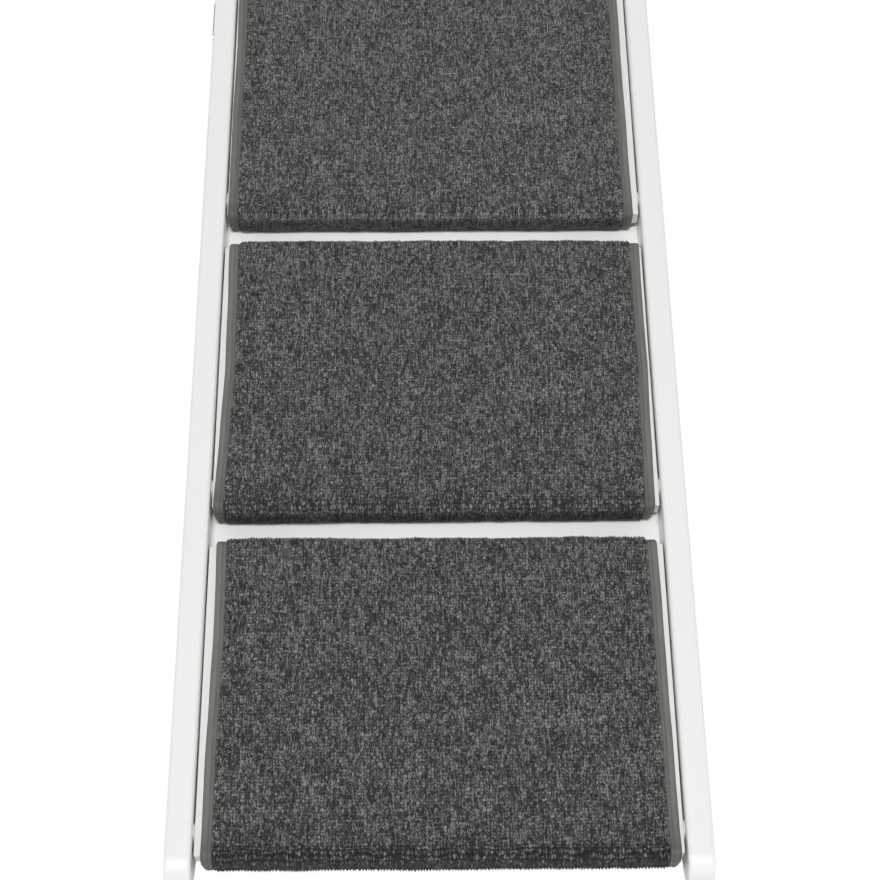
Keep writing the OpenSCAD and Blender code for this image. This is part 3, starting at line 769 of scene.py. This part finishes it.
class Pile:
    """A grid of points over one mat's loops, with rows along the mat and columns across it.
    Loop tops stand on odd lines, and the gaps between loops on even ones."""

    # How far above the turn over the low end the opened rows, with their wider painted gap shade, and
    # the painted shade of the pile reach
    OPEN_REACH = 6 * MM
    PAINTED_SHADE_REACH = 25 * MM
    # Half way round that turn the painted light or shade on the nose, set for each mat, comes in over
    # this distance
    HALF_TURN = 5 * MM
    TURN_REACH = 3 * MM
    # Unevenness of single loops, and of patches of them
    ROUGH = 0.30 * MM
    UNEVEN = 0.22 * MM
    # How far the pile drops in its two outer columns, and at its cut ends
    RIM_DROPS = (2.6 * MM, 0.8 * MM)
    END_DROP = 1.0 * MM
    # How far the backing reaches under the binding
    TUCK = 0.4 * MM

    def __init__(self, make, space):
        wrap = Wrap(space)
        lie = Lie(make, space, wrap)
        self.make, self.wrap, self.lie = make, wrap, lie
        columns = round(2 * (lie.half - lie.tape_w) / make.loop_across)
        rows = round(wrap.length / make.loop_along)
        self.i = np.arange(2 * columns + 1)
        self.j = np.arange(2 * rows + 1)
        self.wide = len(self.i)
        self.tall = len(self.j)
        # Distance along the mat of each row, and place of each column from -1 to 1
        self.s = self.j / 2 * wrap.length / rows
        self.across = self.i / columns - 1.0
        self.left = lie.edge(self.s, -1) + lie.tape_w
        self.right = lie.edge(self.s, 1) - lie.tape_w
        self.nose = wrap.nose(self.s, self.OPEN_REACH)[:, None]
        self.under = wrap.under(self.s)[:, None]

    def outer(self):
        """The points of the loops and of the gaps between them."""
        make, wrap, lie, rng = self.make, self.wrap, self.lie, self.lie.rng
        i, j, nose = self.i, self.j, self.nose
        shape = (self.tall, self.wide)
        span = (self.right - self.left)[:, None]
        x = self.left[:, None] + span * (self.across[None, :] + 1) / 2
        # The corners between four loops are the deepest; on the turn all gaps open up.
        top = np.outer(j % 2, i % 2).astype(float)
        in_column = np.outer(1 - j % 2, i % 2)
        in_row = np.outer(j % 2, 1 - i % 2)
        sunk = 1.0 - top - 0.35 * in_column * (1 - nose) - 0.25 * in_row
        sunk = sunk * (1 + 0.5 * nose * lie.habit.opening)
        rim = np.minimum(i, i[::-1])
        ends = np.minimum(j, j[::-1])
        # Loops stray along and across, each alone and in patches; the rim stays in line.
        loose = make.scatter * np.outer(ends > 0, rim > 0)
        stray = 0.55 * rng.normal(0, 1, shape) + 0.7 * drift_field(rng, shape, (5, 9))
        along = self.s[:, None] + loose * (1 + 0.4 * nose * (1 - 2 * self.under)) * stray
        stray = 0.5 * rng.normal(0, 1, shape) + 0.8 * drift_field(rng, shape, (14, 4))
        x += loose * stray
        height = wrap.pile + make.loft + lie.stand(self.s[:, None], self.across[None, :])
        height = height - make.relief * sunk
        height += self.ROUGH * (0.4 + 0.6 * top) * (1 - 0.5 * nose) * rng.normal(0, 1, shape)
        height += self.UNEVEN * drift_field(rng, shape, (11, 9))
        for wave in self.waves():
            height += wave
        # Under the board the pile is pressed flat.
        height += (wrap.tail_pile - make.relief * sunk - height) * self.under
        # The pile rounds off where it meets the binding and at its cut ends.
        first, second = self.RIM_DROPS
        height -= np.where(rim == 0, first, np.where(rim == 1, second, 0.0))[None, :]
        height -= np.where(ends == 0, self.END_DROP, 0.0)[:, None]
        points, outs = wrap.at(along.ravel())
        return np.column_stack([x.ravel(), points + outs * height.reshape(-1, 1)])

    def waves(self):
        """The gentle waves of the mat's face: a long one that wanders, and a short one."""
        phases = self.lie.phases
        long = self.make.wave * 0.9 * self.lie.ripple(self.s, 7)[:, None]
        long = long * np.cos(self.across * 3 + phases[9])[None, :]
        short = self.make.wave * 0.5 * np.sin(self.across * 9 + phases[10])[None, :]
        return long, short

    def inner(self):
        """The points along the backing's two edges."""
        points, _ = self.wrap.at(self.s)
        return np.vstack([
            np.column_stack([self.left - self.TUCK, points]),
            np.column_stack([self.right + self.TUCK, points]),
        ])

    def faces(self):
        """The faces of the pile, and those of the backing."""
        wide, tall = self.wide, self.tall
        corner = (np.arange(tall - 1)[:, None] * wide + np.arange(wide - 1)[None, :]).ravel()
        pile = np.column_stack([corner, corner + 1, corner + wide + 1, corner + wide]).tolist()
        left = wide * tall
        right = left + tall
        cloth = []
        for k in range(tall - 1):
            a, b = k * wide, (k + 1) * wide
            cloth.append([a, b, left + k + 1, left + k])
            cloth.append([b - 1, b + wide - 1, right + k + 1, right + k])
            cloth.append([left + k, left + k + 1, right + k + 1, right + k])
        cloth.append([*range(wide), right, left])
        last = (tall - 1) * wide
        cloth.append([*range(last, last + wide), right + tall - 1, left + tall - 1])
        return pile, cloth

    def layers(self):
        """The UV layers that the carpet's finish reads. Their lightness carries painted shade that
        darkens the mats a little towards their noses, and from half way round the turn the painted
        light or shade set for each mat."""
        habit = self.lie.habit
        # Painted shade towards the nose, and the mat's painted light or shade on the nose itself
        shade = habit.shade - 0.1 * self.wrap.nose(self.s, self.PAINTED_SHADE_REACH)
        shade = shade + habit.nose_painted_light * self.wrap.nose(self.s + self.HALF_TURN, self.TURN_REACH)
        loops = np.tile(self.i / 2, self.tall), np.repeat(self.j / 2, self.wide)
        turn = np.repeat(self.nose * habit.opening, self.wide), np.repeat(shade, self.wide)
        inner = np.zeros((2 * self.tall, 2))
        return {
            "loops": np.vstack([np.column_stack(loops), inner]),
            "turn": np.vstack([np.column_stack(turn), inner]),
        }

    def piece(self, space, materials):
        """The mat's mesh: the pile, closed by its backing."""
        pile, cloth = self.faces()
        points = space.put(np.vstack([self.outer(), self.inner()]))
        material_of = [0] * len(pile) + [1] * len(cloth)
        name = f"carpet_{space.place}"
        return new_piece(name, points, pile + cloth, materials, material_of, self.layers())


# The bound edge in section: distance in from its outer edge, and height off the board.
TAPE_SECTION = (
    (0.5, 0.15),
    (0.0, 1.0),
    (0.0, 2.2),
    (0.35, 3.1),
    (1.1, 3.7),
    (2.4, 3.95),
    (3.8, 4.0),
    (4.9, 3.9),
    (5.35, 3.62),
    (5.6, 3.5),
    (5.85, 3.62),
    (6.3, 3.85),
    (7.2, 3.9),
    (8.0, 3.7),
    (8.6, 3.0),
    (8.8, 0.15),
)
TAPE_TOP = max(height for _, height in TAPE_SECTION)
# The stitches' groove: its distance in from the outer edge, and the level they lie at
STITCH_IN = 5.6
STITCH_LEVEL = 3.62
# Height of the puckers, and how far above the turn the painted shade on the tape reaches
PUCKER = 0.12 * MM
TAPE_NOSE_SHADE_REACH = 12 * MM


def bound_edge(make, space, wrap, lie, side, material):
    """The tape sewn round one edge of a mat, with the puckers its stitches pull."""
    section = np.array(TAPE_SECTION) * MM
    section[:, 1] *= lie.tape_t / section[:, 1].max()
    count = round(wrap.length / MM)
    s = np.linspace(0, wrap.length, count + 1)
    points, outs = wrap.at(s)
    edge = lie.edge(s, SIDES[side])
    draw = 1 - lie.corner(s) / section[-1, 0]
    pucker = PUCKER * np.sin(s / make.stitch_len * math.tau)
    pucker += 0.3 * make.wave * lie.ripple(s, 11, (1.1, 2.3, 3.7))
    raised = section[:, 1] > 1.0 * MM
    stand = lie.tape_stand(s, SIDES[side])
    steps = np.linalg.norm(np.diff(section, axis=0), axis=1)
    girth = np.concatenate([[0], np.cumsum(steps)]) / MM
    rows = []
    uv = []
    for k in range(len(s)):
        inward = section[-1, 0] - (section[-1, 0] - section[:, 0]) * draw[k]
        x = edge[k] - SIDES[side] * inward
        level = section[:, 1] + (pucker[k] + stand[k]) * raised
        rows.append(np.column_stack([x, points[k] + outs[k] * level[:, None]]))
        uv.append(np.column_stack([girth, np.full(len(girth), s[k] / MM)]))
    n = len(section)
    faces = []
    for k in range(len(s) - 1):
        for m in range(n):
            a, b = k * n + m, k * n + (m + 1) % n
            faces.append([a, b, b + n, a + n])
    faces.append(list(range(n)))
    faces.append(list(range((len(s) - 1) * n, len(s) * n)))
    # Where the tape's painted shade lies round the nose
    tape_nose_shade = np.repeat(wrap.nose(s, TAPE_NOSE_SHADE_REACH), n)
    layers = {
        "tape": np.vstack(uv),
        "turn": np.column_stack([tape_nose_shade, np.zeros(len(tape_nose_shade))]),
    }
    name = f"binding_{side}_{space.place}_tape"
    return new_piece(name, space.put(np.vstack(rows)), faces, [material], layers=layers)


# A stitch in side view: place along it, and thickness as a share of the thread's
STITCH_PROFILE = ((-0.5, 0.0), (-0.42, 0.7), (-0.15, 1.0), (0.15, 1.0), (0.42, 0.7), (0.5, 0.0))
# Share of the stitch length that shows as thread, and how deep its ends dive
STITCH_SHARE = 0.78
STITCH_SINK = 0.25 * MM
THREAD_HALF = 0.28 * MM
THREAD_SIDES = 6
# Length without stitches at both ends of a mat
END_CLEAR = 2 * MM


def stitches(make, space, wrap, lie, material):
    """Short lockstitches lying in the binding's groove on both sides."""
    ring = THREAD_SIDES
    around = np.arange(ring) / ring * math.tau
    places = np.array([place for place, _ in STITCH_PROFILE]) * (make.stitch_len * STITCH_SHARE)
    level = STITCH_LEVEL * MM * lie.tape_t / (TAPE_TOP * MM)
    starts = np.arange(END_CLEAR, wrap.length - END_CLEAR, make.stitch_len)
    rings, faces = [], []
    for side in SIDES.values():
        for start in starts:
            first = len(rings) * ring
            s = start + places
            points, outs = wrap.at(s)
            x = lie.edge(s, side) - side * STITCH_IN * MM
            stand = lie.tape_stand(s, side)
            for k, (_, fat) in enumerate(STITCH_PROFILE):
                height = level + stand[k] - (1 - fat) * STITCH_SINK
                height = height + np.sin(around) * THREAD_HALF * fat
                yz = points[k] + outs[k] * height[:, None]
                rings.append(np.column_stack([x[k] + np.cos(around) * THREAD_HALF * fat, yz]))
            for a in range(len(STITCH_PROFILE) - 1):
                for k in range(ring):
                    p, q = first + a * ring + k, first + a * ring + (k + 1) % ring
                    faces.append([p, q, q + ring, p + ring])
    return new_piece(f"stitching_{space.place}", space.put(np.vstack(rings)), faces, [material])


# ---- Boards ----


def board(make, space):
    """One tread's board, rounded all round. Its plates are let into grooves in its sides."""
    low, high = space.reach("tread")
    edge = make.board_edge
    half = high[0] + make.board_lip
    # Below the pivot plates the side steps back, which leaves room for the stop pegs.
    ledge = 0.1 * MM
    step = space.reach("pivot_plates")[0][2] + ledge
    turns = np.linspace(0, math.pi / 2, 5)
    # Each station holds its place up the slope and how far the end's rounding draws it in.
    # The first lies a little past the tip, where a ring's own roundings would be points.
    past_tip = 0.2
    angles = (past_tip, *turns[1:])
    start = [(edge * (1 - math.cos(a)), edge * (1 - math.sin(a))) for a in angles]
    stations = [(low[1] + y, inset) for y, inset in start]
    stations += [(high[1] - y, inset) for y, inset in start[::-1]]
    upper, lower = high[2] - edge, step - ledge
    flat = (lower - low[2]) / edge
    out, back = half - edge, high[0] - edge
    rings = []
    for y, inset in stations:
        r = edge - inset
        ring = [(out + r * math.cos(a), y, upper + r * math.sin(a)) for a in turns]
        ring += [(-x, y, z) for x, y, z in ring[::-1]]
        ring += [(-out - r, y, step), (-back - r, y, step)]
        foot = [(back + r * math.cos(a), y, lower - flat * r * math.sin(a)) for a in turns]
        ring += [(-x, y, z) for x, y, z in foot] + foot[::-1]
        ring += [(back + r, y, step), (out + r, y, step)]
        rings.append(ring)
    n = len(rings[0])
    faces = [
        [k * n + m, k * n + (m + 1) % n, (k + 1) * n + (m + 1) % n, (k + 1) * n + m]
        for k in range(len(rings) - 1)
        for m in range(n)
    ]
    faces += [list(range(n)), list(range((len(rings) - 1) * n, len(rings) * n))]
    points = space.put(np.array(rings).reshape(-1, 3))
    piece = new_piece(f"board_{space.place}", points, faces, [bpy.data.materials["white_paint"]])
    piece.modifiers.new("normals", "WEIGHTED_NORMAL")
    return piece


# ---- Operators ----


class MakeStage(bpy.types.Operator):
    """Add the floor, the lamps, the world and the camera"""

    bl_idname = "dog_ramp.make_stage"
    bl_label = "Stage"

    def execute(self, context):
        studio = context.scene.ramp_studio
        scene = context.scene
        scene.view_settings.view_transform = "Standard"
        self.make_camera(scene, studio)
        self.make_world(scene, studio)
        self.make_floor(studio)
        pivot = Vector(JOINTS["bottom_tread_tilt"]["pos_m"])
        away = Vector(studio.stand).normalized()
        place = pivot + away * studio.key_away + Vector(studio.key_shift)
        self.make_lamp("key_lamp", place, studio.aim, studio.key_size, studio.key)
        for side, sign in SIDES.items():
            place = Vector(studio.side_stand) * Vector((sign, 1, 1))
            self.make_lamp(f"{side}_lamp", place, studio.aim, studio.side_size, studio.side)
        return {"FINISHED"}

    def make_camera(self, scene, studio):
        lens = bpy.data.cameras.new("camera")
        lens.lens = studio.lens
        lens.sensor_width = 36
        lens.clip_start = 0.05
        lens.clip_end = 60
        camera = bpy.data.objects.new("camera", lens)
        turn = (
            Matrix.Rotation(-studio.heading, 4, "Z")
            @ Matrix.Rotation(math.pi / 2 - studio.dip, 4, "X")
            @ Matrix.Rotation(studio.tilt, 4, "Z")
        )
        pivot = Vector(JOINTS["bottom_tread_tilt"]["pos_m"])
        camera.matrix_world = Matrix.Translation(pivot + Vector(studio.stand)) @ turn
        scene.collection.objects.link(camera)
        scene.camera = camera

    def make_world(self, scene, studio):
        """White to the camera and through glass, and a softer light on the ramp."""
        world = bpy.data.worlds.new("studio")
        world.use_nodes = True
        nodes, links = world.node_tree.nodes, world.node_tree.links
        nodes.clear()
        path = nodes.new("ShaderNodeLightPath")
        seen = nodes.new("ShaderNodeMath")
        seen.operation = "MAXIMUM"
        links.new(path.outputs["Is Camera Ray"], seen.inputs[0])
        links.new(path.outputs["Is Transmission Ray"], seen.inputs[1])
        light = nodes.new("ShaderNodeBackground")
        white = nodes.new("ShaderNodeBackground")
        mix = nodes.new("ShaderNodeMixShader")
        light.inputs["Color"].default_value = (*studio.sky_tint, 1)
        light.inputs["Strength"].default_value = studio.sky
        white.inputs["Color"].default_value = (1, 1, 1, 1)
        links.new(seen.outputs[0], mix.inputs[0])
        links.new(light.outputs[0], mix.inputs[1])
        links.new(white.outputs[0], mix.inputs[2])
        out = nodes.new("ShaderNodeOutputWorld")
        links.new(mix.outputs[0], out.inputs["Surface"])
        scene.world = world

    def make_floor(self, studio):
        """A wide matt floor, which the camera sees mixed with a plain white glow."""
        finish = Finish("floor", roughness=0.9)
        mottle = finish.noise(finish.place(), scale=2.0, detail=2.0)
        grey = studio.floor
        finish.set("Base Color", finish.mix(mottle, (grey,) * 3, (grey * 0.99,) * 3))
        nodes, links = finish.tree.nodes, finish.tree.links
        glow = nodes.new("ShaderNodeEmission")
        glow.inputs["Strength"].default_value = studio.glow
        path = finish.add("ShaderNodeLightPath", out="Is Camera Ray")
        mix = nodes.new("ShaderNodeMixShader")
        links.new((path * studio.backdrop).socket, mix.inputs[0])
        links.new(finish.surface.outputs[0], mix.inputs[1])
        links.new(glow.outputs[0], mix.inputs[2])
        links.new(mix.outputs[0], finish.outlet.inputs["Surface"])
        half = studio.floor_half
        corners = [(-half, -half, 0), (half, -half, 0), (half, half, 0), (-half, half, 0)]
        floor = new_piece("floor", corners, [[0, 1, 2, 3]], [finish.material], smooth=False)

    def make_lamp(self, name, place, target, size, power):
        """A round area lamp that points at the target."""
        lamp = bpy.data.lights.new(name, "AREA")
        lamp.shape = "DISK"
        lamp.size = size
        lamp.energy = power
        holder = bpy.data.objects.new(name, lamp)
        holder.location = place
        aim = Vector(target) - Vector(place)
        holder.rotation_euler = aim.to_track_quat("-Z", "Y").to_euler()
        bpy.context.scene.collection.objects.link(holder)


class FinishWoodwork(bpy.types.Operator):
    """Paint the rails, crossbars, boards and legs"""

    bl_idname = "dog_ramp.finish_woodwork"
    bl_label = "Woodwork"

    def execute(self, context):
        make = context.scene.ramp_paint
        paint = white_paint(make)
        finish_nodes(["rail_left", "rail_right"], paint)
        finish_nodes(["crossbar_lower", "crossbar_middle", "crossbar_top"], paint)
        for place in PLACES:
            piece = board(make, TreadSpace(place))
            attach(piece, f"tread_{place}")
            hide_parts(f"tread_{place}")
        finish_nodes(["leg_left", "leg_right"], paint, edge=make.edge, segments=3)
        finish_nodes(["leg_crossbar"], paint)
        return {"FINISHED"}


class FinishTreadHardware(bpy.types.Operator):
    """Finish the plates, screws, bolts, washers and pegs beside and under the treads"""

    bl_idname = "dog_ramp.finish_tread_hardware"
    bl_label = "Tread hardware"

    def execute(self, context):
        make = context.scene.ramp_hardware
        zinc = metal("zinc", make.zinc, rough=0.34, streaks=500.0)
        steel = metal("plate_steel", make.steel, rough=0.6, streaks=900.0)
        nylon = moulded("nylon", make.nylon, rough=0.45, bloom_tint=0.9)
        finish_nodes(each_place("pivot_plates", "guide_plates"), steel)
        finish_nodes(each_place("lock_bolt_left", "lock_bolt_right"), steel)
        finish_nodes(each_place("pivot_bolts", "plate_screws", "lock_barrels"), zinc)
        finish_nodes(["stop_pegs", "crossbar_screws"], zinc)
        finish_nodes(["pivot_washers"], nylon)
        finish_nodes(each_place("hook_tape"), hook_cloth(make))
        return {"FINISHED"}


class FinishLegHardware(bpy.types.Operator):
    """Finish the hinge plates, bolts, nuts and screws of the legs, and the rubber pads"""

    bl_idname = "dog_ramp.finish_leg_hardware"
    bl_label = "Leg hardware and pads"

    def execute(self, context):
        make = context.scene.ramp_hardware
        zinc = bpy.data.materials["zinc"]
        finish_nodes(["hinge_plates", "hinge_bolts", "hinge_nuts", "hinge_screws", "leg_screws"], zinc)
        rubber = moulded("rubber", make.rubber, rough=0.7, bloom_tint=1.7)
        finish_nodes(["floor_pads", "end_pads", "leg_pads"], rubber, edge=make.pad_edge)
        return {"FINISHED"}


class MakeMats(bpy.types.Operator):
    """Lay a bound loop-pile mat on each board"""

    bl_idname = "dog_ramp.make_mats"
    bl_label = "Mats"

    def execute(self, context):
        make = context.scene.ramp_carpet
        pile = [carpet(make), backing(make)]
        tape = binding_tape(make)
        sewing = thread(make)
        for place in PLACES:
            space = TreadSpace(place)
            body = f"tread_{place}"
            grid = Pile(make, space)
            wrap, lie = grid.wrap, grid.lie
            mat = grid.piece(space, pile)
            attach(mat, body)
            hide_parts(f"mat_{place}")
            bound = [bound_edge(make, space, wrap, lie, side, tape) for side in SIDES]
            bound.append(stitches(make, space, wrap, lie, sewing))
            for piece in bound:
                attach(piece, body)
            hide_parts(f"binding_{place}")
        return {"FINISHED"}


class RampPanel(bpy.types.Panel):
    """The ramp's makers and their settings"""

    bl_idname = "VIEW3D_PT_dog_ramp"
    bl_label = "Dog Ramp"
    bl_space_type = "VIEW_3D"
    bl_region_type = "UI"
    bl_category = "Dog Ramp"

    def draw(self, context):
        layout = self.layout
        for operator in OPERATORS:
            layout.operator(operator.bl_idname)
        for group, owner in SETTINGS.items():
            box = layout.box()
            for name in owner.__annotations__:
                box.prop(getattr(context.scene, group), name)


OPERATORS = (MakeStage, FinishWoodwork, FinishTreadHardware, FinishLegHardware, MakeMats)
SETTINGS = {
    "ramp_carpet": CarpetMake,
    "ramp_paint": PaintMake,
    "ramp_hardware": HardwareMake,
    "ramp_studio": StudioMake,
}
CLASSES = (*SETTINGS.values(), *OPERATORS, RampPanel)


def register():
    for owner in CLASSES:
        bpy.utils.register_class(owner)
    for group, owner in SETTINGS.items():
        setattr(bpy.types.Scene, group, PointerProperty(type=owner))


def unregister():
    for group in SETTINGS:
        delattr(bpy.types.Scene, group)
    for owner in reversed(CLASSES):
        bpy.utils.unregister_class(owner)


def main():
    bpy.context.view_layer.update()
    register()
    for operator in OPERATORS:
        group, name = operator.bl_idname.split(".")
        getattr(getattr(bpy.ops, group), name)()


if __name__ == "__main__":
    main()
